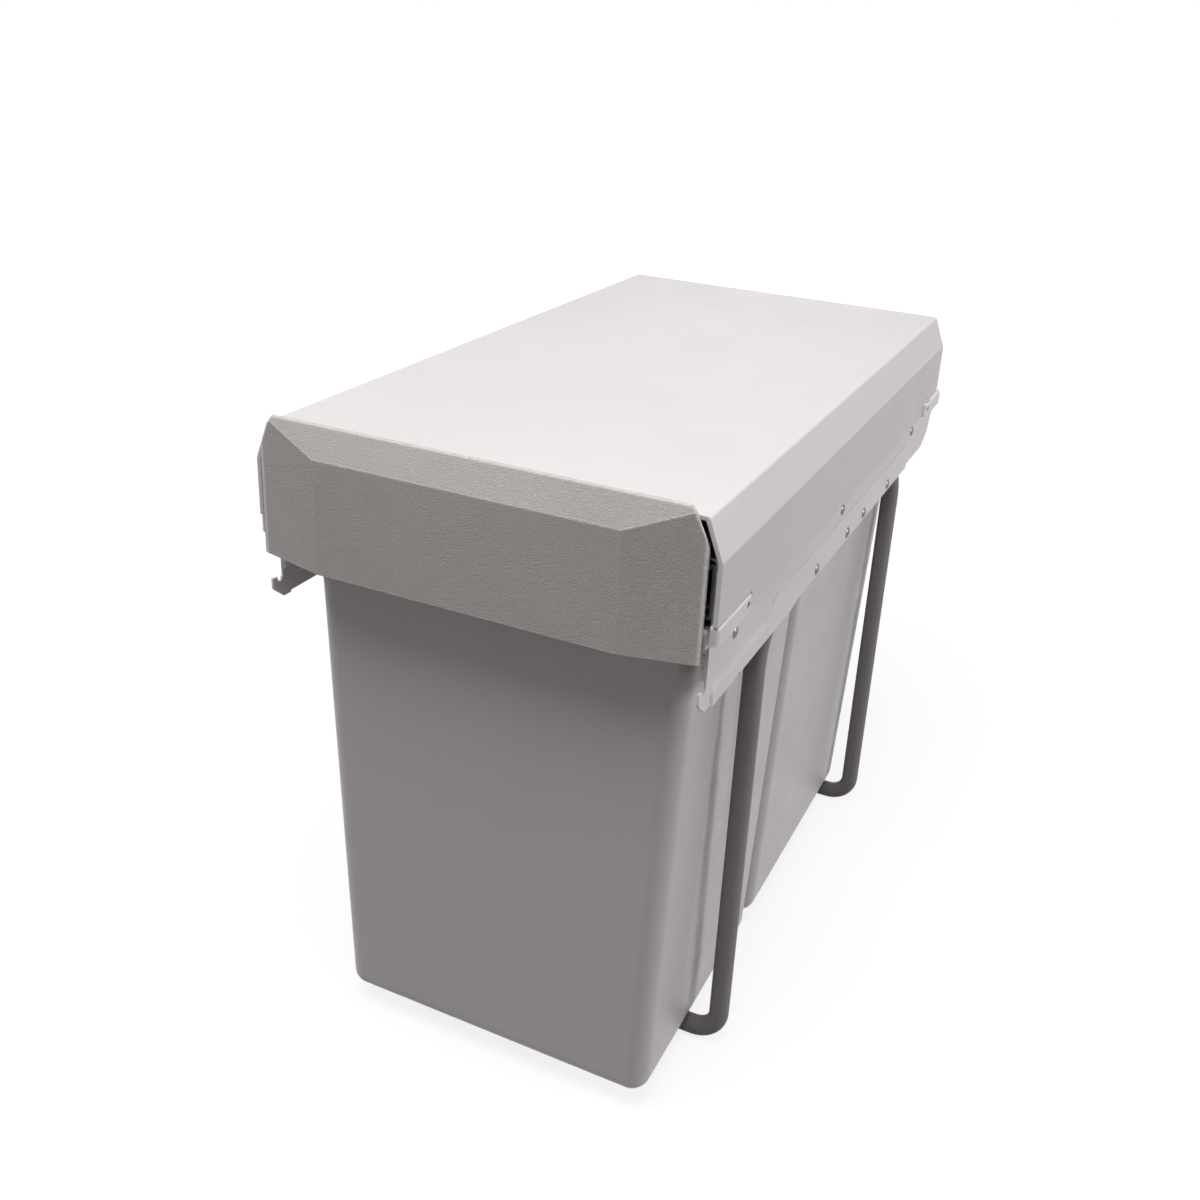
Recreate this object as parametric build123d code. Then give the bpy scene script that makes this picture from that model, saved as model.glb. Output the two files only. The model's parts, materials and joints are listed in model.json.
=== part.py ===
from build123d import *
import os

# Pull out twin waste bin unit for a 300 mm base cabinet, shown pushed in.
# Millimetres, +Z up, +X to the right of someone standing in front, +Y towards the back of the
# cabinet. The origin is on the floor, under the middle of the unit's outer box.
#
# A fixed cover hangs over two ball bearing slides that are screwed to the cabinet sides. The
# slides carry a frame of folded steel sides and bent tube loops, with the front panel as its
# pull. The bins hang in that frame by their rims.

# Overall places
cover_top = 384.0
panel_gap = 3.3
panel_depth = 9.3
plate_rear_reach = 474.0
cover_front = (panel_gap + panel_depth - plate_rear_reach) / 2

# Clearances
seat_gap = 0.3
ball_play = 0.05
shank_play = 0.05
overrun = 5.0

# Cover, a moulded shell with sloped shoulders
cover_width = 256.0
cover_length = 453.0
cover_drop = 62.0
cover_wall = 2.2
shoulder_width = 8.0
shoulder_drop = 21.0
cover_edge_round = 2.2
rear_wall_drop = 55.0
rib_thickness = 1.6
rib_drop = 5.0
rib_front = 3.0
cross_rib_count = 4
long_rib_offset = 52.0

# Slides, three nested members each, with two rows of balls between neighbours
rail_top_drop = 21.0
rail_height = 35.0
fixed_rail_front = 4.0
fixed_rail_length = 444.0
fixed_sheet = 1.2
fixed_flange_reach = 8.4
fixed_bend = 1.6
middle_front = 6.0
middle_sheet = 1.4
middle_web_gap = 0.4
middle_flange_reach = 9.0
middle_bend = 1.4
inner_front = 10.0
inner_length = 430.0
inner_sheet = 1.4
inner_web_reach = 10.8
inner_flange_reach = 5.2
ball_radius = 1.5
groove_depth = 0.4
outer_ball_reach = 4.6
inner_ball_reach = 7.4
cage_thickness = 0.9
outer_cage_near = 2.4
outer_cage_far = 7.2
inner_cage_near = 5.6
inner_cage_far = 9.2
cage_front = 120.0
cage_length = 200.0
balls_per_row = 4
rail_buffer_length = 3.0
rail_buffer_height = 20.0

# Mounting brackets, whose pressed ears take the cabinet screws
bracket_sheet = 1.2
front_ear_reach = 0.7
rear_ear_reach = 3.0
bracket_length = 45.5
bracket_setback = 0.5
bracket_top_drop = 27.0
bracket_leg_inset = 3.0
ear_top_drop = 52.8
ear_low_drop = 62.4
ear_round = 2.4
ear_edge_round = 1.6
ear_gap = 0.5
ear_slot_setback = 2.5
ear_slot_length = 11.0
ear_slot_width = 1.6
screw_hole_radius = 2.1
screw_hole_setback = 40.5
screw_hole_drop = 57.6

# Rail carriers, folded steel that joins the inner rail to the side plate and holds the bin rims
carrier_sheet = 1.2
carrier_front = 10.0
carrier_length = 434.0
carrier_lip_drop = 24.0
carrier_lip_width = 3.6
carrier_shelf_drop = 57.5
carrier_leg_drop = 84.0
carrier_bend = 1.4

# Side plates, the painted steel sides that show under the cover
plate_sheet = 1.2
plate_setback = 5.5
plate_top_drop = 60.0
plate_front = 7.3
plate_low_drop = 101.0
plate_rear_low_drop = 98.8
plate_step_front = 133.0
plate_step_length = 11.0
plate_taper_front = 450.0
plate_taper_middle = 466.0
plate_taper_middle_drop = 92.0
plate_taper_drop = 77.0
plate_corner_round = 4.0
band_height = 1.5
band_front = 13.0
band_front_drop = 90.5
band_rise_front = 90.0
band_rise_length = 14.0
band_drop = 79.8
band_rear = 399.0
band_round = 5.0
edge_nick_radius = 1.5
edge_nick_place = 50.0
hook_reach = 8.4
hook_tip_drop = 87.6
hook_chin_drop = 94.0
hook_chin_round = 3.0
hook_notch_radius = 1.9
hook_notch_place = 4.6
hook_notch_drop = 89.4
flange_width = 36.0
flange_foot_width = 3.9
flange_foot_low_width = 3.0
flange_top_drop = 60.0
flange_step_drop = 71.0
flange_bottom_drop = 85.0
flange_corner_round = 2.0
pin_hole_radius = 0.85
pin_hole_inset = 2.3
pin_hole_drops = (71.0, 78.0)

# Tube loops that cradle the bins
tube_radius = 6.0
tube_wall = 1.2
front_loop_place = 100.0
rear_loop_place = 391.0
loop_run_drop = 94.0
loop_foot_bend = 16.0
loop_top_bend = 28.0
front_loop_end = 252.0
rear_loop_end = 272.0
plug_cap_length = 1.6
plug_stem_length = 5.5
tube_seat = 0.05

# Rivets
rivet_radius = 2.4
rivet_head_radius = 3.7
rivet_head_height = 1.4
rivet_tail_height = 1.0
loop_rivet_length = 5.2
loop_rivet_places = (179.0, 243.0, 281.0, 342.0)
carrier_rivet_places = (43.0, 229.5, 408.0)
carrier_rivet_drop = 74.5
rail_rivet_places = (42.0, 230.0, 418.0)
rail_rivet_head = 0.6

# Rear cross bar
cross_bar_sheet = 1.2
cross_bar_rear = 459.0
cross_bar_leg = 12.0
cross_bar_bend = 2.0
cross_bar_top_drop = 68.0
cross_bar_low_drop = 92.0

# Front panel, a shallow faceted shell that is also the pull
panel_overhang = 0.2
panel_rise = 5.5
panel_drop = 72.0
panel_corner_width = 8.7
panel_corner_height = 18.5
panel_side_width = 39.2
panel_face_drop = 10.0
panel_wall = 2.6
panel_edge_round = 0.8
boss_radius = 4.2
boss_insets = (14.8, 29.8)
panel_screw_drop = 65.8
panel_screw_radius = 1.9
panel_screw_reach = 7.0
panel_screw_head_radius = 3.6
panel_screw_head_height = 2.2

# Closing buffers on the frame's front flanges
buffer_width = 5.4
buffer_height = 10.4
buffer_length = 6.2
buffer_middle_drop = 61.6
buffer_round = 2.0

# Bins
bin_wall = 2.2
bin_floor = 2.6
bin_rim_thickness = 2.0
bin_side_gap = 0.5
bin_collar_gap = 0.4
bin_collar_draft = 0.2
bin_side_draft = 9.5
bin_shoulder_drop = 93.0
bin_rim_overhang = 1.6
bin_top_round = 12.0
bin_joint_round = 4.5
bin_foot_round = 11.0
bin_foot_edge = 10.0
bin_gap = 1.0
bin_foot_lift = 2.0
bin_parting = 196.6
front_bin_front = 18.0
front_bin_foot_front = 22.0
front_bin_foot_rear = 194.5
rear_bin_rear = 414.0
rear_bin_foot_front = 199.0
rear_bin_foot_rear = 401.0
hollow_top_drop = 60.0
hollow_foot_height = 40.0
hollow_depth = 8.0
hollow_margin = 0.1
hollow_front = 75.0
hollow_rear = 156.0
hollow_front_slope = 4.0
hollow_floor_rear = 122.0


def at_y(place):
    """The Y of a place that is measured back from the cover's front edge."""
    return cover_front + place


def at_z(drop):
    """The Z of a place that is measured down from the cover's top."""
    return cover_top - drop


def run_back(section, front, rear):
    """A prism of a section drawn in X and Z, between two places along the cover."""
    placed = Plane.XZ.offset(-at_y(front)) * section
    return extrude(placed, amount=front - rear)


def run_out(section, inner, outer):
    """A prism of a section drawn in Y and Z, between two X."""
    return extrude(Plane.YZ.offset(inner) * section, amount=outer - inner)


def block(x_span, y_span, z_span):
    """A block between two values of X, Y and Z."""
    size = [high - low for low, high in (x_span, y_span, z_span)]
    middle = [(high + low) / 2 for low, high in (x_span, y_span, z_span)]
    return Pos(*middle) * Box(*size)


def folded(points, sheet, bend):
    """The section of a sheet that is folded along a line of points."""
    return trace(FilletPolyline(*points, radius=bend), sheet)


def rod(start, radius, length, direction):
    """A round rod from a point along a direction."""
    return extrude(Plane(start, z_dir=direction) * Circle(radius), amount=length)


def left_of(shape):
    """The left hand copy of a right hand piece."""
    return mirror(shape, about=Plane.YZ)


def both_sides(shapes):
    """Right hand solids and their left hand copies, as one group."""
    return Compound([*shapes, *[left_of(shape) for shape in shapes]])


# Places that follow from the sizes above
rail_outset = cover_width / 2 - cover_wall - bracket_sheet - seat_gap
plate_outset = cover_width / 2 - plate_setback
panel_width = 2 * (plate_outset + panel_overhang)
buffer_front = fixed_rail_front + fixed_rail_length - rail_buffer_length
rail_middle = at_z(rail_top_drop + rail_height / 2)
flange_inner_half = rail_height / 2 - fixed_sheet
outer_ball_height = flange_inner_half + groove_depth - ball_radius - ball_play
middle_half = outer_ball_height - ball_radius - ball_play + groove_depth
inner_ball_height = middle_half - middle_sheet + groove_depth - ball_radius - ball_play
inner_half = inner_ball_height - ball_radius - ball_play + groove_depth
carrier_outset = rail_outset - inner_web_reach
bin_rim_half_width = carrier_outset - carrier_sheet - bin_side_gap
bin_collar_half_width = carrier_outset - carrier_lip_width - bin_collar_gap
bin_shoulder_half_width = bin_collar_half_width - bin_collar_draft
bin_foot_half_width = bin_shoulder_half_width - bin_side_draft
band_outset = plate_outset + band_height
tube_outset = band_outset - plate_sheet - tube_radius - tube_seat
loop_run_height = at_z(loop_run_drop)
plate_inner = plate_outset - plate_sheet


def cover_section(inset, extra_drop):
    """The outer outline of the cover in X and Z, moved inwards by a wall."""
    half = cover_width / 2
    bottom = at_z(cover_drop) - extra_drop
    outline = Polyline(
        (half, bottom),
        (half, at_z(shoulder_drop)),
        (half - shoulder_width, cover_top),
        (shoulder_width - half, cover_top),
        (-half, at_z(shoulder_drop)),
        (-half, bottom),
        close=True,
    )
    face = make_face(outline)
    upper = face.vertices().filter_by(lambda v: v.Y > bottom + overrun)
    face = fillet(upper, cover_edge_round)
    return offset(face, -inset) if inset else face


def cover_ribs():
    """Stiffening ribs under the cover's top."""
    top = cover_top - cover_wall
    half = cover_width / 2 - shoulder_width - cover_wall
    pitch = cover_length / (cross_rib_count + 1)
    ribs = []
    for number in range(cross_rib_count):
        middle = at_y(pitch * (number + 1))
        span = (middle - rib_thickness / 2, middle + rib_thickness / 2)
        ribs.append(block((-half, half), span, (top - rib_drop, top)))
    for side in (-1, 1):
        middle = side * long_rib_offset
        span = (middle - rib_thickness / 2, middle + rib_thickness / 2)
        ends = (at_y(rib_front), at_y(cover_length - cover_wall))
        ribs.append(block(span, ends, (top - rib_drop, top)))
    return ribs


def bracket_notches():
    """The cut-outs in the cover's side walls that the brackets come out of."""
    length = bracket_setback + bracket_length + seat_gap
    inner = cover_width / 2 - cover_wall - overrun
    outer = cover_width / 2 + overrun
    drops = (at_z(cover_drop) - overrun, at_z(ear_top_drop - ear_gap))
    cuts = []
    for front, rear in ((-overrun, length), (cover_length - length, cover_length + overrun)):
        for low, high in ((inner, outer), (-outer, -inner)):
            cuts.append(block((low, high), (at_y(front), at_y(rear)), drops))
    return cuts


def cover():
    """The fixed cover, open below and in front."""
    shell = run_back(cover_section(0, 0), 0, cover_length)
    inside = cover_section(cover_wall, overrun + cover_wall)
    shell -= run_back(inside, -overrun, cover_length - cover_wall)
    half = cover_width / 2 - cover_wall
    ends = (at_y(cover_length - cover_wall - overrun), at_y(cover_length + overrun))
    shell -= block((-half, half), ends, (at_z(cover_drop) - overrun, at_z(rear_wall_drop)))
    shell = shell.fuse(*cover_ribs())
    return shell.cut(*bracket_notches())


def rail_place(reach, height):
    """A point of a slide's section: reach is inwards from its web, height from its middle."""
    return (rail_outset - reach, rail_middle + height)


def grooves(reach, height):
    """The two ball grooves of a slide's section, above and below its middle."""
    circles = [Pos(*rail_place(reach, side * height)) * Circle(ball_radius + ball_play)
               for side in (-1, 1)]
    return circles


def channel(web_reach, tip_reach, half_height, sheet, bend):
    """A channel section of a slide member, from flange tip to flange tip."""
    edge = half_height - sheet / 2
    points = [
        rail_place(tip_reach, edge),
        rail_place(web_reach, edge),
        rail_place(web_reach, -edge),
        rail_place(tip_reach, -edge),
    ]
    return folded(points, sheet, bend)


def fixed_rail():
    """The slide member that stays on the cabinet side."""
    section = channel(
        fixed_sheet / 2, fixed_flange_reach, rail_height / 2, fixed_sheet, fixed_bend
    )
    for groove in grooves(outer_ball_reach, outer_ball_height):
        section -= groove
    return run_back(section, fixed_rail_front, fixed_rail_front + fixed_rail_length)


def middle_rail():
    """The slide member that travels half as far as the frame."""
    web = fixed_sheet + middle_web_gap + middle_sheet / 2
    section = channel(web, middle_flange_reach, middle_half, middle_sheet, middle_bend)
    for groove in grooves(outer_ball_reach, outer_ball_height):
        section -= groove
    for groove in grooves(inner_ball_reach, inner_ball_height):
        section -= groove
    return run_back(section, middle_front, buffer_front - seat_gap)


def rail_rivet_holes(inner, outer):
    """Holes for the rivets between the inner rail and its carrier."""
    return [
        rod((inner, at_y(place), rail_middle), rivet_radius + shank_play, outer - inner, (1, 0, 0))
        for place in rail_rivet_places
    ]


def inner_rail():
    """The slide member that is riveted to the frame."""
    web = inner_web_reach - inner_sheet / 2
    section = channel(web, inner_flange_reach, inner_half, inner_sheet, middle_bend)
    for groove in grooves(inner_ball_reach, inner_ball_height):
        section -= groove
    rail = run_back(section, inner_front, inner_front + inner_length)
    return rail.cut(*rail_rivet_holes(carrier_outset - overrun, carrier_outset + overrun))


def ball_places():
    """Places of the balls along a cage."""
    pitch = cage_length / balls_per_row
    return [cage_front + pitch * (number + 1 / 2) for number in range(balls_per_row)]


def cage(near, far, ball_reach, height):
    """The upper and lower strips that keep the balls apart."""
    strips = []
    for side in (-1, 1):
        low = rail_middle + side * height - cage_thickness / 2
        span = (rail_outset - far, rail_outset - near)
        ends = (at_y(cage_front), at_y(cage_front + cage_length))
        strip = block(span, ends, (low, low + cage_thickness))
        holes = [
            rod(
                (rail_outset - ball_reach, at_y(place), low - overrun),
                ball_radius + ball_play,
                cage_thickness + 2 * overrun,
                (0, 0, 1),
            )
            for place in ball_places()
        ]
        strips.append(strip.cut(*holes))
    return Compound(strips)


def balls(ball_reach, height):
    """The balls of one cage."""
    return Compound(
        [
            Pos(rail_outset - ball_reach, at_y(place), rail_middle + side * height)
            * Sphere(ball_radius)
            for place in ball_places()
            for side in (-1, 1)
        ]
    )


def rail_buffer():
    """The block at the back of the fixed rail that stops the members when pushed in."""
    span = (rail_outset - fixed_flange_reach, rail_outset - fixed_sheet)
    ends = (at_y(buffer_front), at_y(buffer_front + rail_buffer_length))
    half = rail_buffer_height / 2
    shape = block(span, ends, (rail_middle - half, rail_middle + half))
    return fillet(shape.edges().filter_by(Axis.Y), rail_buffer_length / 3)


def ear(front, reach, inset):
    """The outer form of a bracket's ear, or its hollow when moved in by the sheet."""
    beyond = overrun if inset else 0
    span = (rail_outset - beyond, cover_width / 2 + reach - inset)
    ends = (at_y(front + inset), at_y(front + bracket_length - inset))
    shape = block(span, ends, (at_z(ear_low_drop) - beyond, at_z(ear_top_drop) - inset))
    corners = shape.edges().filter_by(Axis.Z).sort_by(Axis.X)[2:]
    shape = fillet(corners, ear_round - inset)
    top = shape.faces().sort_by(Axis.Z)[-1].edges().sort_by(Axis.X)[1:]
    return fillet(top, ear_edge_round - inset)


def bracket(front, hole, reach):
    """A bracket: a leg that lies on the fixed rail, and a closed ear with a screw hole."""
    shape = ear(front, reach, 0) - ear(front, reach, bracket_sheet)
    ends = (at_y(front + bracket_leg_inset), at_y(front + bracket_length - bracket_leg_inset))
    heights = (at_z(ear_top_drop) - bracket_sheet, at_z(bracket_top_drop))
    shape += block((rail_outset, rail_outset + bracket_sheet), ends, heights)
    start = (cover_width / 2 - cover_wall, at_y(hole), at_z(screw_hole_drop))
    return shape - rod(start, screw_hole_radius, cover_wall + reach + overrun, (1, 0, 0))


def front_bracket():
    """The bracket under the cover's front corner, nearly flush with the cover."""
    return bracket(bracket_setback, screw_hole_setback, front_ear_reach)


def rear_bracket():
    """The bracket under the cover's rear corner, which has a slot in the top of its ear."""
    front = cover_length - bracket_setback - bracket_length
    shape = bracket(front, cover_length - screw_hole_setback, rear_ear_reach)
    middle = (cover_width + rear_ear_reach) / 2
    span = (middle - ear_slot_width / 2, middle + ear_slot_width / 2)
    slot_front = front + ear_slot_setback
    ends = (at_y(slot_front), at_y(slot_front + ear_slot_length))
    heights = (at_z(ear_top_drop) - bracket_sheet - seat_gap, at_z(ear_top_drop) + overrun)
    return shape - block(span, ends, heights)


def carrier():
    """The folded carrier between the inner rail and the side plate."""
    middle = carrier_sheet / 2
    leg = carrier_outset - middle
    shelf = at_z(carrier_shelf_drop) - middle
    lower = plate_inner - middle
    points = [
        (carrier_outset - carrier_lip_width, at_z(carrier_lip_drop) - middle),
        (leg, at_z(carrier_lip_drop) - middle),
        (leg, shelf),
        (lower, shelf),
        (lower, at_z(carrier_leg_drop)),
    ]
    section = folded(points, carrier_sheet, carrier_bend)
    shape = run_back(section, carrier_front, carrier_front + carrier_length)
    shape = shape.cut(*rail_rivet_holes(carrier_outset - overrun, carrier_outset + overrun))
    return shape.cut(*carrier_rivet_holes())


def carrier_rivet_holes():
    """Holes for the rivets between the carrier and the side plate."""
    height = at_z(carrier_rivet_drop)
    start = plate_inner - carrier_sheet - rivet_tail_height
    return [
        rod((start, at_y(place), height), rivet_radius + shank_play, 2 * overrun, (1, 0, 0))
        for place in carrier_rivet_places
    ]


def plate_outline():
    """The side plate's outline in Y and Z, with the hook at its front."""
    points = [
        (plate_front, plate_top_drop),
        (plate_front, hook_notch_drop),
        (plate_front - hook_reach, hook_tip_drop),
        (plate_front - hook_reach, hook_chin_drop),
        (plate_front, plate_low_drop),
        (plate_step_front, plate_low_drop),
        (plate_step_front + plate_step_length, plate_rear_low_drop),
        (plate_taper_front, plate_rear_low_drop),
        (plate_taper_middle, plate_taper_middle_drop),
        (plate_rear_reach, plate_taper_drop),
        (plate_rear_reach, plate_top_drop),
    ]
    face = make_face(Polyline(*[(at_y(y), at_z(drop)) for y, drop in points], close=True))
    rear = face.vertices().filter_by(lambda v: v.X > at_y(plate_taper_front) - overrun)
    face = fillet(rear, plate_corner_round)
    low = face.vertices().filter_by(lambda v: v.X < at_y(plate_front) and v.Y < at_z(hook_tip_drop))
    face = fillet(low, hook_chin_round)
    notch = Pos(at_y(hook_notch_place), at_z(hook_notch_drop)) * Circle(hook_notch_radius)
    mouth = Pos(at_y(hook_notch_place), at_z(hook_notch_drop) + overrun / 2) * Rectangle(
        2 * hook_notch_radius, overrun
    )
    nick = Pos(at_y(edge_nick_place), at_z(plate_low_drop)) * Circle(edge_nick_radius)
    return face - notch - mouth - nick


def band_outline():
    """The raised lower band of the plate, which rises where the tubes run behind it."""
    points = [
        (band_front, plate_low_drop + overrun),
        (band_front, band_front_drop),
        (band_rise_front, band_front_drop),
        (band_rise_front + band_rise_length, band_drop),
        (band_rear, band_drop),
        (band_rear, plate_low_drop + overrun),
    ]
    face = make_face(Polyline(*[(at_y(y), at_z(drop)) for y, drop in points], close=True))
    upper = face.vertices().filter_by(lambda v: v.Y > at_z(plate_low_drop))
    return fillet(upper, band_round)


def embossed(plate, outline, height, limit):
    """A plate with an area pressed outwards, its walls sloped and its back hollow."""
    top = offset(outline, -height)
    pressed = []
    for base in (plate_outset, plate_inner):
        low = Plane.YZ.offset(base) * outline
        high = Plane.YZ.offset(base + height) * top
        pressed.append(loft([low, high], ruled=True))
    bump = pressed[0] & run_out(limit, plate_inner, plate_outset + height)
    return (plate + bump) - pressed[1]


def front_flange():
    """The flange that is folded inwards at the front of the plate and holds the panel."""
    points = [
        (0, flange_top_drop),
        (0, flange_bottom_drop),
        (flange_foot_low_width, flange_bottom_drop),
        (flange_foot_width, flange_step_drop),
        (flange_width, flange_step_drop),
        (flange_width, flange_top_drop),
    ]
    places = [(plate_outset - inset, at_z(drop)) for inset, drop in points]
    outline = make_face(Polyline(*places, close=True))
    outline = fillet(outline.vertices().filter_by(lambda v: v.X < plate_inner), flange_corner_round)
    shape = run_back(outline, plate_front, plate_front + plate_sheet)
    for drop in pin_hole_drops:
        start = (plate_outset - pin_hole_inset, at_y(plate_front) - overrun, at_z(drop))
        shape -= rod(start, pin_hole_radius, 2 * overrun, (0, 1, 0))
    for inset in boss_insets:
        start = (plate_outset - inset, at_y(plate_front) - overrun, at_z(panel_screw_drop))
        shape -= rod(start, panel_screw_radius + shank_play, 2 * overrun, (0, 1, 0))
    return shape


def side_plate():
    """The right hand side plate."""
    limit = plate_outline()
    plate = run_out(limit, plate_inner, plate_outset)
    plate = embossed(plate, band_outline(), band_height, limit)
    plate += front_flange()
    return plate.cut(*carrier_rivet_holes(), *loop_rivet_holes(overrun))


def loop_rivet_holes(reach):
    """Holes for the rivets between the side plate and the tubes."""
    start = band_outset - loop_rivet_length
    return [
        rod(
            (start, at_y(place), loop_run_height),
            rivet_radius + shank_play,
            loop_rivet_length + reach,
            (1, 0, 0),
        )
        for place in loop_rivet_places
    ]


def loop_path(place, end):
    """The centre line of a tube loop, from one side's end under the bins to the other's."""
    points = [
        (tube_outset, at_y(end), loop_run_height),
        (tube_outset, at_y(place), loop_run_height),
        (tube_outset, at_y(place), tube_radius),
        (-tube_outset, at_y(place), tube_radius),
        (-tube_outset, at_y(place), loop_run_height),
        (-tube_outset, at_y(end), loop_run_height),
    ]
    bends = (loop_top_bend, loop_foot_bend, loop_foot_bend, loop_top_bend)
    return FilletPolyline(*points, radius=bends)


def loop(place, end):
    """A bent tube loop with its rivet holes."""
    path = loop_path(place, end)
    start = Plane(path @ 0, z_dir=path % 0)
    tube = sweep(start * Circle(tube_radius), path=path)
    tube -= sweep(start * Circle(tube_radius - tube_wall), path=path)
    holes = loop_rivet_holes(overrun)
    return tube.cut(*holes, *[left_of(hole) for hole in holes])


def loop_plugs():
    """Plastic plugs in the four tube ends."""
    plugs = []
    for place, end in ((front_loop_place, front_loop_end), (rear_loop_place, rear_loop_end)):
        outwards = (0, 1 if end > place else -1, 0)
        mouth = (tube_outset, at_y(end), loop_run_height)
        inwards = tuple(-part for part in outwards)
        plug = rod(mouth, tube_radius, plug_cap_length, outwards)
        plug += rod(mouth, tube_radius - tube_wall - shank_play, plug_stem_length, inwards)
        plugs.append(plug)
    return both_sides(plugs)


def domed_rivet(length, tail, origin):
    """A rivet along X: a shank from the origin, a domed head beyond it and a flat tail behind."""
    shoulder = (rivet_head_radius, length)
    crown = (0, length + rivet_head_height)
    crown_radius = (rivet_head_radius**2 + rivet_head_height**2) / (2 * rivet_head_height)
    half_way = rivet_head_radius / 2
    sink = crown_radius - (crown_radius**2 - half_way**2) ** 0.5
    between = (half_way, length + rivet_head_height - sink)
    foot = [(0, -tail), (rivet_head_radius, -tail), (rivet_head_radius, 0)] if tail else [(0, 0)]
    sides = Polyline(crown, *foot, (rivet_radius, 0), (rivet_radius, length), shoulder)
    dome = ThreePointArc(shoulder, between, crown)
    turned = revolve(Plane.XZ * make_face([*sides.edges(), dome]), axis=Axis.Z)
    return Plane(origin, z_dir=(1, 0, 0)) * turned


def loop_rivets():
    """Rivets that hold the tubes to the side plates."""
    start = band_outset - loop_rivet_length
    return both_sides(
        [
            domed_rivet(loop_rivet_length, 0, (start, at_y(place), loop_run_height))
            for place in loop_rivet_places
        ]
    )


def carrier_rivets():
    """Rivets that hold the carriers to the side plates."""
    start = plate_inner - carrier_sheet
    length = plate_outset - start
    height = at_z(carrier_rivet_drop)
    return both_sides(
        [
            domed_rivet(length, rivet_tail_height, (start, at_y(place), height))
            for place in carrier_rivet_places
        ]
    )


def rail_rivets():
    """Flat rivets that hold the inner rails to the carriers."""
    inner = carrier_outset - carrier_sheet
    outer = carrier_outset + inner_sheet
    rivets = []
    for place in rail_rivet_places:
        centre = (at_y(place), rail_middle)
        shank = rod((inner, *centre), rivet_radius, outer - inner, (1, 0, 0))
        for face in (inner - rail_rivet_head, outer):
            shank += rod((face, *centre), rivet_head_radius, rail_rivet_head, (1, 0, 0))
        rivets.append(shank)
    return both_sides(rivets)


def rear_cross_bar():
    """The folded strip that ties the side plates together behind the bins."""
    middle = cross_bar_sheet / 2
    side = plate_inner - middle
    rear = at_y(cross_bar_rear) - middle
    points = [
        (side, rear - cross_bar_leg),
        (side, rear),
        (-side, rear),
        (-side, rear - cross_bar_leg),
    ]
    section = folded(points, cross_bar_sheet, cross_bar_bend)
    placed = Plane.XY.offset(at_z(cross_bar_low_drop)) * section
    return extrude(placed, amount=cross_bar_low_drop - cross_bar_top_drop)


def panel_body(inset):
    """The faceted body of the front panel, or its inside when moved in by a wall."""
    half = panel_width / 2 - inset
    top = panel_rise - inset
    bottom = panel_drop - inset
    outline = Polyline(
        (half, at_z(bottom)),
        (half, at_z(panel_corner_height - panel_rise)),
        (half - panel_corner_width, at_z(-top)),
        (panel_corner_width - half, at_z(-top)),
        (-half, at_z(panel_corner_height - panel_rise)),
        (-half, at_z(bottom)),
        close=True,
    )
    rear = -panel_gap + (overrun if inset else 0)
    front = -panel_gap - panel_depth + inset
    body = run_back(make_face(outline), front, rear)
    face_half = half - panel_side_width + inset / 2
    face_top = at_z(panel_face_drop + inset / 2)
    rear_edge = at_y(-panel_gap)
    for side in (-1, 1):
        body = cut_beyond(
            body,
            (side * face_half, at_y(front), face_top),
            (side * half, rear_edge, face_top),
            (0, 0, 1),
            (side, -1, 0),
        )
    body = cut_beyond(
        body,
        (0, at_y(front), face_top),
        (0, rear_edge, at_z(-top)),
        (1, 0, 0),
        (0, -1, 1),
    )
    if inset:
        return body
    return fillet(body.edges() - body.faces().sort_by(Axis.Y)[-1].edges(), panel_edge_round)


def cut_beyond(body, first, second, along, outside):
    """The body without what lies beyond a plane through two points and a direction."""
    slope = (Vector(*second) - Vector(*first)).normalized()
    normal = slope.cross(Vector(*along))
    if normal.dot(Vector(*outside)) < 0:
        normal = -normal
    return split(body, bisect_by=Plane(first, z_dir=normal), keep=Keep.BOTTOM)


def boss_starts():
    """The rear ends of the panel's screw bosses."""
    return [
        (side * (plate_outset - inset), at_y(plate_front), at_z(panel_screw_drop))
        for side in (-1, 1)
        for inset in boss_insets
    ]


def front_panel():
    """The front panel with its hollow back and its screw bosses."""
    outer = panel_body(0)
    shell = outer - panel_body(panel_wall)
    reach = plate_front + panel_gap
    bosses = [rod(start, boss_radius, reach, (0, -1, 0)) for start in boss_starts()]
    roots = [
        rod(start, boss_radius, reach + panel_depth, (0, -1, 0)) & outer for start in boss_starts()
    ]
    shell = shell.fuse(*bosses, *roots)
    holes = [
        rod(start, panel_screw_radius + shank_play, panel_screw_reach, (0, -1, 0))
        for start in boss_starts()
    ]
    return shell.cut(*holes)


def panel_screws():
    """Screws that hold the panel to the frame's front flanges."""
    screws = []
    back = plate_front + plate_sheet
    for inset in boss_insets:
        centre = (plate_outset - inset, at_y(back), at_z(panel_screw_drop))
        screw = rod(centre, panel_screw_head_radius, panel_screw_head_height, (0, 1, 0))
        screw += rod(centre, panel_screw_radius, plate_sheet + panel_screw_reach - seat_gap, (0, -1, 0))
        screws.append(screw)
    return both_sides(screws)


def closing_buffer():
    """The rounded plastic buffer on the front of the frame's flange."""
    outer = plate_outset + seat_gap
    span = (outer - buffer_width, outer)
    ends = (at_y(plate_front - buffer_length), at_y(plate_front))
    middle = at_z(buffer_middle_drop)
    shape = block(span, ends, (middle - buffer_height / 2, middle + buffer_height / 2))
    shape = fillet(shape.edges().filter_by(Axis.Y), buffer_round)
    return fillet(shape.faces().sort_by(Axis.Y)[0].edges(), buffer_round / 2)


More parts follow.
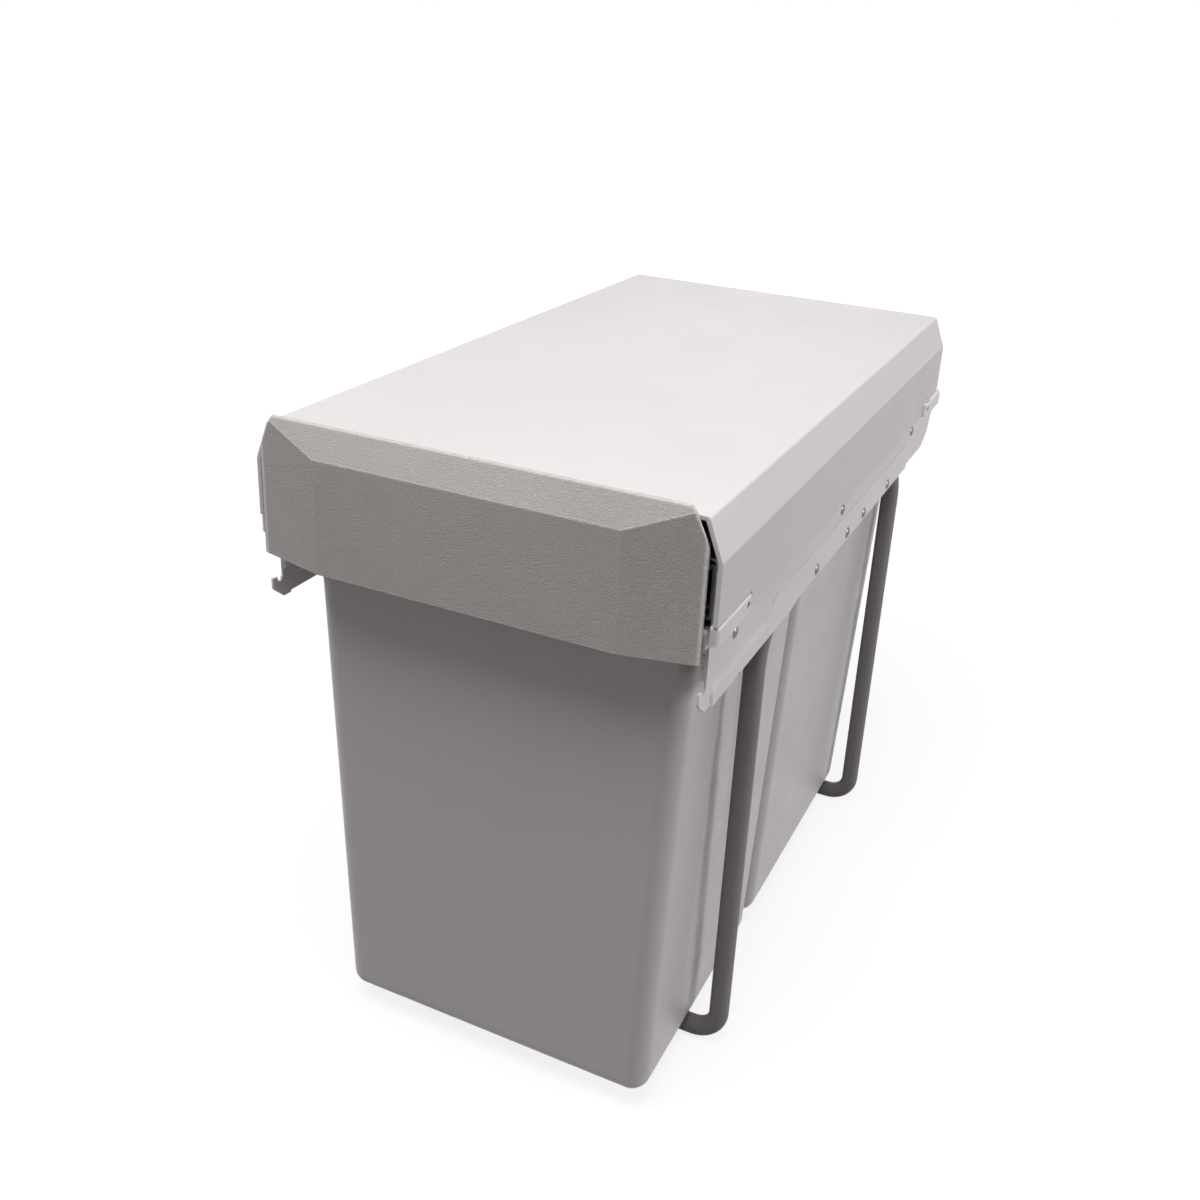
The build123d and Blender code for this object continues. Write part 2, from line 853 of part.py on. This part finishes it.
def bin_outline(half_width, front, rear, rounds, height):
    """A rectangle in plan at a height, with its front and its rear corners rounded."""
    outline = Pos(0, at_y((front + rear) / 2)) * Rectangle(2 * half_width, rear - front)
    for place, corner in zip((front, rear), rounds):
        ends = outline.vertices().filter_by(lambda v: abs(v.Y - at_y(place)) < seat_gap)
        outline = fillet(ends, corner)
    return Pos(0, 0, height) * outline


def bin_body(foot, shoulder, rear_round, inset, lift):
    """A tapered tub between its foot, its shoulder and its rim, moved inwards by a wall."""
    rim_top = at_z(carrier_lip_drop) + seat_gap + bin_rim_thickness
    rounds = (bin_top_round - inset, rear_round - inset)
    shoulder_ends = (shoulder[0] + inset, shoulder[1] - inset)
    outlines = [
        bin_outline(bin_foot_half_width - inset, foot[0] + inset, foot[1] - inset,
                    (bin_foot_round - inset, bin_foot_round - inset),
                    2 * tube_radius + bin_foot_lift + lift),
        bin_outline(bin_shoulder_half_width - inset, *shoulder_ends, rounds,
                    at_z(bin_shoulder_drop)),
        bin_outline(bin_collar_half_width - inset, *shoulder_ends, rounds,
                    rim_top + (overrun if inset else 0)),
    ]
    lower = loft(outlines[:2], ruled=True)
    lower = fillet(lower.faces().sort_by(Axis.Z)[0].edges(), bin_foot_edge - inset)
    return lower + loft(outlines[1:], ruled=True)


def bin_rim(front, rear, rear_round):
    """The flat rim that the bin hangs by."""
    outline = bin_outline(
        bin_rim_half_width,
        front - bin_rim_overhang,
        rear + bin_rim_overhang,
        (bin_top_round + bin_rim_overhang, rear_round + bin_rim_overhang),
        at_z(carrier_lip_drop) + seat_gap,
    )
    return extrude(outline, amount=bin_rim_thickness)


def tube_hollow(inset):
    """The hollow that is drawn into the front bin's side where the loop passes."""
    foot = 2 * tube_radius + bin_foot_lift
    shoulder = at_z(bin_shoulder_drop)
    slope = (bin_shoulder_half_width - bin_foot_half_width) / (shoulder - foot)
    low_side = bin_foot_half_width + slope * hollow_foot_height
    sections = []
    for height, side, depth in (
        (foot + hollow_foot_height, low_side, 0),
        (shoulder, bin_shoulder_half_width, hollow_depth),
        (at_z(hollow_top_drop), bin_collar_half_width, hollow_depth),
    ):
        wall = side + hollow_margin - inset
        floor = wall - depth
        outside = wall + overrun
        points = [
            (outside, at_y(hollow_front - inset)),
            (wall, at_y(hollow_front - inset)),
            (floor, at_y(hollow_front + hollow_front_slope - inset)),
            (floor, at_y(hollow_floor_rear)),
            (wall, at_y(hollow_rear)),
            (outside, at_y(hollow_rear)),
        ]
        sections.append(Pos(0, 0, height) * make_face(Polyline(*points, close=True)))
    return loft(sections[:2], ruled=True) + loft(sections[1:], ruled=True)


def front_bin():
    """The front bin, hollowed at its sides for the loop."""
    foot = (front_bin_foot_front, front_bin_foot_rear)
    rear = bin_parting - bin_gap / 2 - bin_rim_overhang
    shoulder = (front_bin_front, rear)
    outer = bin_body(foot, shoulder, bin_joint_round, 0, 0)
    outer += bin_rim(*shoulder, bin_joint_round)
    inner = bin_body(foot, shoulder, bin_joint_round, bin_wall, bin_floor)
    hollow = tube_hollow(0)
    backed = tube_hollow(bin_wall)
    outer = outer - hollow - left_of(hollow)
    inner = inner - backed - left_of(backed)
    return outer - inner


def rear_bin():
    """The rear bin."""
    foot = (rear_bin_foot_front, rear_bin_foot_rear)
    front = bin_parting + bin_gap / 2 + bin_rim_overhang
    shoulder = (front, rear_bin_rear)
    outer = bin_body(foot, shoulder, bin_top_round, 0, 0)
    outer += bin_rim(*shoulder, bin_top_round)
    return outer - bin_body(foot, shoulder, bin_top_round, bin_wall, bin_floor)


def nodes():
    """Every piece of the unit by name."""
    right = {
        "fixed_rail": fixed_rail(),
        "middle_rail": middle_rail(),
        "inner_rail": inner_rail(),
        "outer_cage": cage(outer_cage_near, outer_cage_far, outer_ball_reach, outer_ball_height),
        "outer_balls": balls(outer_ball_reach, outer_ball_height),
        "inner_cage": cage(inner_cage_near, inner_cage_far, inner_ball_reach, inner_ball_height),
        "inner_balls": balls(inner_ball_reach, inner_ball_height),
        "rail_buffer": rail_buffer(),
        "front_bracket": front_bracket(),
        "rear_bracket": rear_bracket(),
        "rail_carrier": carrier(),
        "side_plate": side_plate(),
        "closing_buffer": closing_buffer(),
    }
    pieces = {
        "cover": cover(),
        "front_loop": loop(front_loop_place, front_loop_end),
        "rear_loop": loop(rear_loop_place, rear_loop_end),
        "loop_plugs": loop_plugs(),
        "loop_rivets": loop_rivets(),
        "carrier_rivets": carrier_rivets(),
        "rail_rivets": rail_rivets(),
        "rear_cross_bar": rear_cross_bar(),
        "front_panel": front_panel(),
        "panel_screws": panel_screws(),
        "front_bin": front_bin(),
        "rear_bin": rear_bin(),
    }
    for name, shape in right.items():
        pieces["right_" + name] = shape
        pieces["left_" + name] = left_of(shape)
    return pieces


os.makedirs("parts", exist_ok=True)
for name, shape in nodes().items():
    export_step(shape, f"parts/{name}.step")
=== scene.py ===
import json
import math

import bpy
from mathutils import Matrix, Vector

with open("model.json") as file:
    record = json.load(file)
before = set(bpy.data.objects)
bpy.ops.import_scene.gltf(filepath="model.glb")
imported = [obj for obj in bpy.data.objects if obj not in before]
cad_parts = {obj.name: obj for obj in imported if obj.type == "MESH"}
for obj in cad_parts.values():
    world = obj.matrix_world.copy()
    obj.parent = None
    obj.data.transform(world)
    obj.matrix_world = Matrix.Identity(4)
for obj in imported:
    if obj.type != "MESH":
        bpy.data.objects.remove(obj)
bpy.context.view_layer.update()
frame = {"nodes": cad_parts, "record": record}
nodes = frame["nodes"]

# Camera, fitted to the straight edges of the photograph
CAMERA_PLACE = (0.2950, -0.7210, 0.5929)
CAMERA_AZIMUTH = math.radians(24.13)
CAMERA_ELEVATION = math.radians(22.97)
CAMERA_ROLL = math.radians(3.02)
CAMERA_LENS = 38.65
CAMERA_SHIFT = (-0.0125, -0.0537)

# Studio
FLOOR_SIZE = 40.0
FLOOR_COLOR = (0.22, 0.217, 0.214)
FLOOR_GLOW = 0.84
FLOOR_FADE = (0.5, 2.0)
AMBIENT_COLOR = (1.0, 0.985, 0.98)
AMBIENT_STRENGTH = 0.13

# Edges of moulded and pressed pieces are rounded by less than the solids show
MOULDED_EDGE = 0.0007
PRESSED_EDGE = 0.0004
# Edges get a painted highlight within this reach of a corner
EDGE_HIGHLIGHT_REACH = 0.0016


def add_camera():
    """The camera at the place and angle that the photograph was taken from."""
    azimuth, elevation = CAMERA_AZIMUTH, CAMERA_ELEVATION
    back = Vector((
        math.sin(azimuth) * math.cos(elevation),
        -math.cos(azimuth) * math.cos(elevation),
        math.sin(elevation),
    ))
    level = (-back).cross(Vector((0, 0, 1))).normalized()
    upright = level.cross(-back)
    right = math.cos(CAMERA_ROLL) * level + math.sin(CAMERA_ROLL) * upright
    up = math.cos(CAMERA_ROLL) * upright - math.sin(CAMERA_ROLL) * level
    data = bpy.data.cameras.new("camera")
    data.lens = CAMERA_LENS
    data.shift_x, data.shift_y = CAMERA_SHIFT
    data.clip_start = 0.02
    camera = bpy.data.objects.new("camera", data)
    turned = Matrix((right, up, back)).transposed().to_4x4()
    camera.matrix_world = Matrix.Translation(CAMERA_PLACE) @ turned
    bpy.context.scene.collection.objects.link(camera)
    bpy.context.scene.camera = camera


class Shader:
    """A material's node tree, built from short calls."""

    def __init__(self, name):
        self.material = bpy.data.materials.new(name)
        self.material.use_nodes = True
        self.tree = self.material.node_tree
        self.tree.nodes.clear()
        self.place = self.node("ShaderNodeTexCoord").outputs["Object"]

    def node(self, kind, values=(), **settings):
        """A node with its settings, its inputs set or linked."""
        made = self.tree.nodes.new(kind)
        for key, value in settings.items():
            setattr(made, key, value)
        for socket, value in dict(values).items():
            if isinstance(value, bpy.types.NodeSocket):
                self.tree.links.new(value, made.inputs[socket])
            else:
                made.inputs[socket].default_value = value
        return made

    def noise(self, scale, detail=3.0, place=None, output="Fac"):
        """Cloudy noise, whose scale is in features per metre."""
        values = {"Vector": place or self.place, "Scale": scale, "Detail": detail}
        return self.node("ShaderNodeTexNoise", values).outputs[output]

    def ramp(self, value, *stops):
        """A colour that follows a value through stops."""
        made = self.node("ShaderNodeValToRGB", {"Fac": value})
        elements = made.color_ramp.elements
        while len(elements) < len(stops):
            elements.new(0.5)
        for element, (position, color) in zip(elements, stops):
            element.position = position
            element.color = (*color, 1)
        return made.outputs["Color"]

    def span(self, value, start, end, low, high):
        """A value moved from one span to another."""
        values = {"Value": value, "From Min": start, "From Max": end, "To Min": low, "To Max": high}
        return self.node("ShaderNodeMapRange", values).outputs["Result"]

    def math(self, operation, first, second):
        """Two values joined by a sum or a product."""
        return self.node("ShaderNodeMath", {0: first, 1: second}, operation=operation).outputs[0]

    def moved(self, strength, scale):
        """Places pushed about by noise, so that a pattern on them looks grown."""
        push = self.noise(scale, 2.0, output="Color")
        values = {0: push, 1: (strength, strength, strength), 2: self.place}
        return self.node("ShaderNodeVectorMath", values, operation="MULTIPLY_ADD").outputs[0]

    def stretched(self, scale):
        """Places scaled along each axis, so that a pattern on them is drawn out."""
        return self.node("ShaderNodeMapping", {"Vector": self.place, "Scale": scale}).outputs[0]

    def rounded(self, radius):
        """The normal as it would be if edges were rounded."""
        return self.node("ShaderNodeBevel", {"Radius": radius}, samples=4).outputs["Normal"]

    def edge_highlight(self, strength):
        """A share that is zero on flat faces and reaches a strength on their edges, where it paints
        a highlight.
        """
        values = {0: self.rounded(EDGE_HIGHLIGHT_REACH), 1: self.rounded(0.0)}
        product = self.node("ShaderNodeVectorMath", values, operation="DOT_PRODUCT")
        return self.span(product.outputs["Value"], 0.998, 0.95, 0.0, strength)

    def mixed(self, color, share, other):
        """A colour that turns to another by a share."""
        values = {"Factor": share, "A": color, "B": (*other, 1)}
        made = self.tree.nodes.new("ShaderNodeMix")
        made.data_type = "RGBA"
        for socket in made.inputs:
            if socket.enabled and socket.name in values:
                value = values[socket.name]
                if isinstance(value, bpy.types.NodeSocket):
                    self.tree.links.new(value, socket)
                else:
                    socket.default_value = value
        return next(socket for socket in made.outputs if socket.enabled)

    def bump(self, height, distance, normal):
        """A normal with a fine relief on it, whose depth is in metres."""
        values = {"Height": height, "Distance": distance, "Normal": normal}
        return self.node("ShaderNodeBump", values).outputs["Normal"]

    def finish(self, **values):
        """The surface shader and the finished material."""
        names = {
            "color": "Base Color",
            "roughness": "Roughness",
            "metallic": "Metallic",
            "normal": "Normal",
            "specular": "Specular IOR Level",
        }
        values = {names[key]: value for key, value in values.items()}
        surface = self.node("ShaderNodeBsdfPrincipled", values).outputs[0]
        self.node("ShaderNodeOutputMaterial", {"Surface": surface})
        return self.material


def shade(color, factor):
    """A colour made lighter or darker."""
    return tuple(part * factor for part in color)


def leather_plastic(name, color, grain, depth, roughness):
    """Moulded plastic with a leather grain: soft pebbles with creases between them."""
    s = Shader(name)
    places = s.moved(0.8 / grain, grain * 0.45)
    values = {"Vector": places, "Scale": grain, "Randomness": 1.0}
    cells = s.node("ShaderNodeTexVoronoi", values, feature="DISTANCE_TO_EDGE").outputs["Distance"]
    pebble = s.span(cells, 0.0, 0.16, 0.0, 1.0)
    height = s.math("ADD", pebble, s.noise(grain * 0.5, 3.0))
    clouds = s.noise(9.0, 4.0)
    tint = s.ramp(clouds, (0.3, shade(color, 0.96)), (0.7, shade(color, 1.04)))
    # painted shade: the colour turns darker in the creases between the pebbles
    crease_shade = s.span(pebble, 0.0, 0.5, 0.06, 0.0)
    tint = s.mixed(tint, crease_shade, shade(color, 0.6))
    normal = s.rounded(MOULDED_EDGE)
    # painted highlight: the edges are mixed toward a paler colour
    tint = s.mixed(tint, s.edge_highlight(0.9), shade(color, 1.75))
    rough = s.span(height, 0.2, 1.4, roughness + 0.08, roughness - 0.05)
    normal = s.bump(height, depth, normal)
    return s.finish(color=tint, roughness=rough, normal=normal, specular=0.3)


def satin_plastic(name, color, texture, depth, roughness, specular=0.25):
    """Moulded plastic with a fine satin texture and faint flow clouds."""
    s = Shader(name)
    fine = s.noise(texture, 2.0)
    flow = s.noise(5.0, 4.0, place=s.stretched((1.0, 1.0, 0.45)))
    tone = s.math("ADD", s.math("MULTIPLY", flow, 0.7), s.math("MULTIPLY", fine, 0.3))
    tint = s.ramp(tone, (0.3, shade(color, 0.965)), (0.7, shade(color, 1.03)))
    normal = s.rounded(MOULDED_EDGE)
    # painted highlight: the edges are mixed toward a paler colour
    tint = s.mixed(tint, s.edge_highlight(0.5), shade(color, 1.3))
    rough = s.span(s.noise(40.0, 3.0), 0.3, 0.7, roughness - 0.05, roughness + 0.06)
    normal = s.bump(fine, depth, normal)
    return s.finish(color=tint, roughness=rough, normal=normal, specular=specular)


def powder_coat(name, color, texture, depth, roughness):
    """Painted steel with the slight orange peel of powder coat, with a painted highlight on its
    edges.
    """
    s = Shader(name)
    peel = s.noise(texture, 2.0)
    tint = s.ramp(s.noise(13.0, 4.0), (0.3, shade(color, 0.96)), (0.7, shade(color, 1.035)))
    normal = s.rounded(PRESSED_EDGE)
    # painted highlight: the edges are mixed toward a paler colour
    tint = s.mixed(tint, s.edge_highlight(0.7), shade(color, 1.25))
    rough = s.span(s.noise(texture * 0.3, 3.0), 0.3, 0.7, roughness - 0.05, roughness + 0.07)
    return s.finish(color=tint, roughness=rough, normal=s.bump(peel, depth, normal), specular=0.3)


def bright_steel(name, color, marks_scale, depth, roughness):
    """Zinc plated or polished steel with fine marks and cloudy plating."""
    s = Shader(name)
    marks = s.noise(900.0, 3.0, place=s.stretched(marks_scale))
    clouds = s.noise(60.0, 4.0)
    tint = s.ramp(clouds, (0.3, shade(color, 0.85)), (0.72, color))
    both = s.math("ADD", marks, clouds)
    rough = s.span(both, 0.7, 1.3, roughness - 0.06, roughness + 0.08)
    normal = s.bump(marks, depth, s.rounded(PRESSED_EDGE))
    return s.finish(color=tint, roughness=rough, metallic=1.0, normal=normal)


MATERIALS = {
    "cover_plastic": satin_plastic("cover_plastic", (0.745, 0.705, 0.703), 1400.0, 0.00002, 0.62),
    "panel_plastic": leather_plastic("panel_plastic", (0.560, 0.522, 0.512), 900.0, 0.00020, 0.58),
    "bin_plastic": satin_plastic("bin_plastic", (0.555, 0.517, 0.513), 1600.0, 0.00002, 0.38, 0.5),
    "grey_paint": powder_coat("grey_paint", (0.815, 0.771, 0.768), 900.0, 0.00002, 0.50),
    "tube_paint": powder_coat("tube_paint", (0.235, 0.216, 0.222), 1500.0, 0.00004, 0.60),
    "zinc_steel": bright_steel("zinc_steel", (0.36, 0.36, 0.37), (1.0, 0.05, 1.0), 0.00001, 0.34),
    "rivet_steel": bright_steel("rivet_steel", (0.17, 0.17, 0.175), (1.0, 1.0, 1.0), 0.000004, 0.24),
    "ball_steel": bright_steel("ball_steel", (0.86, 0.86, 0.87), (1.0, 1.0, 1.0), 0.000001, 0.12),
    "grey_buffer": satin_plastic("grey_buffer", (0.640, 0.630, 0.620), 2000.0, 0.00002, 0.50),
    "dark_plastic": satin_plastic("dark_plastic", (0.050, 0.050, 0.052), 2000.0, 0.00002, 0.50),
}


def dress_nodes():
    """Gives every CAD node the material of its slot."""
    for entry in frame["record"]["subparts"]:
        data = nodes[entry["node"]].data
        data.materials.clear()
        data.materials.append(MATERIALS[entry["material_slot"]])
        for polygon in data.polygons:
            polygon.material_index = 0


def background_rays(tree):
    """One for the rays that show the background: from the camera, in gloss and through glass."""
    path = tree.nodes.new("ShaderNodeLightPath")
    shown = path.outputs["Is Camera Ray"]
    for name in ("Is Glossy Ray", "Is Transmission Ray"):
        either = tree.nodes.new("ShaderNodeMath")
        either.operation = "MAXIMUM"
        tree.links.new(shown, either.inputs[0])
        tree.links.new(path.outputs[name], either.inputs[1])
        shown = either.outputs[0]
    return shown


def add_world():
    """White where the background is seen, and plain soft light for everything else."""
    world = bpy.data.worlds.new("studio")
    bpy.context.scene.world = world
    world.use_nodes = True
    tree = world.node_tree
    tree.nodes.clear()
    mix = tree.nodes.new("ShaderNodeMixShader")
    tree.links.new(background_rays(tree), mix.inputs[0])
    for place, color, strength in ((1, AMBIENT_COLOR, AMBIENT_STRENGTH), (2, (1, 1, 1), 1.0)):
        background = tree.nodes.new("ShaderNodeBackground")
        background.inputs["Color"].default_value = (*color, 1)
        background.inputs["Strength"].default_value = strength
        tree.links.new(background.outputs[0], mix.inputs[place])
    output = tree.nodes.new("ShaderNodeOutputWorld")
    tree.links.new(mix.outputs[0], output.inputs["Surface"])


def floor_material():
    """A matt floor that looks near white, keeps shadows and throws back little light."""
    material = bpy.data.materials.new("floor")
    material.use_nodes = True
    tree = material.node_tree
    tree.nodes.clear()
    matt = tree.nodes.new("ShaderNodeBsdfDiffuse")
    matt.inputs["Color"].default_value = (*FLOOR_COLOR, 1)
    glow = tree.nodes.new("ShaderNodeEmission")
    place = tree.nodes.new("ShaderNodeNewGeometry")
    distance = tree.nodes.new("ShaderNodeVectorMath")
    distance.operation = "LENGTH"
    tree.links.new(place.outputs["Position"], distance.inputs[0])
    fade = tree.nodes.new("ShaderNodeMapRange")
    fade.inputs["From Min"].default_value, fade.inputs["From Max"].default_value = FLOOR_FADE
    fade.inputs["To Min"].default_value = FLOOR_GLOW
    tree.links.new(distance.outputs["Value"], fade.inputs["Value"])
    brightness = tree.nodes.new("ShaderNodeMath")
    brightness.operation = "MULTIPLY"
    tree.links.new(background_rays(tree), brightness.inputs[0])
    tree.links.new(fade.outputs["Result"], brightness.inputs[1])
    tree.links.new(brightness.outputs[0], glow.inputs["Strength"])
    both = tree.nodes.new("ShaderNodeAddShader")
    tree.links.new(matt.outputs[0], both.inputs[0])
    tree.links.new(glow.outputs[0], both.inputs[1])
    output = tree.nodes.new("ShaderNodeOutputMaterial")
    tree.links.new(both.outputs[0], output.inputs["Surface"])
    return material


def add_floor():
    """The floor that the object stands on."""
    half = FLOOR_SIZE / 2
    corners = [(-half, -half, 0), (half, -half, 0), (half, half, 0), (-half, half, 0)]
    mesh = bpy.data.meshes.new("floor")
    mesh.from_pydata(corners, [], [(0, 1, 2, 3)])
    mesh.materials.append(floor_material())
    floor = bpy.data.objects.new("floor", mesh)
    bpy.context.scene.collection.objects.link(floor)


def add_lamp(name, place, target, size, power):
    """A soft round lamp that looks at a point."""
    data = bpy.data.lights.new(name, "AREA")
    data.shape = "DISK"
    data.size = size
    data.energy = power
    lamp = bpy.data.objects.new(name, data)
    lamp.location = place
    aim = Vector(target) - Vector(place)
    lamp.rotation_euler = aim.to_track_quat("-Z", "Y").to_euler()
    bpy.context.scene.collection.objects.link(lamp)


add_camera()
dress_nodes()
add_world()
add_floor()
add_lamp("above", (0.05, -0.70, 2.05), (0, 0, 0.35), 1.4, 33.5)
add_lamp("right", (2.25, 0.65, 0.75), (0, 0, 0.22), 1.2, 20.8)
add_lamp("left", (-2.2, -0.35, 0.9), (0, 0, 0.25), 1.2, 7.0)
add_lamp("behind", (-0.7, 2.3, 0.5), (0, 0, 0.2), 0.8, 7.0)
bpy.context.scene.view_settings.view_transform = "Standard"
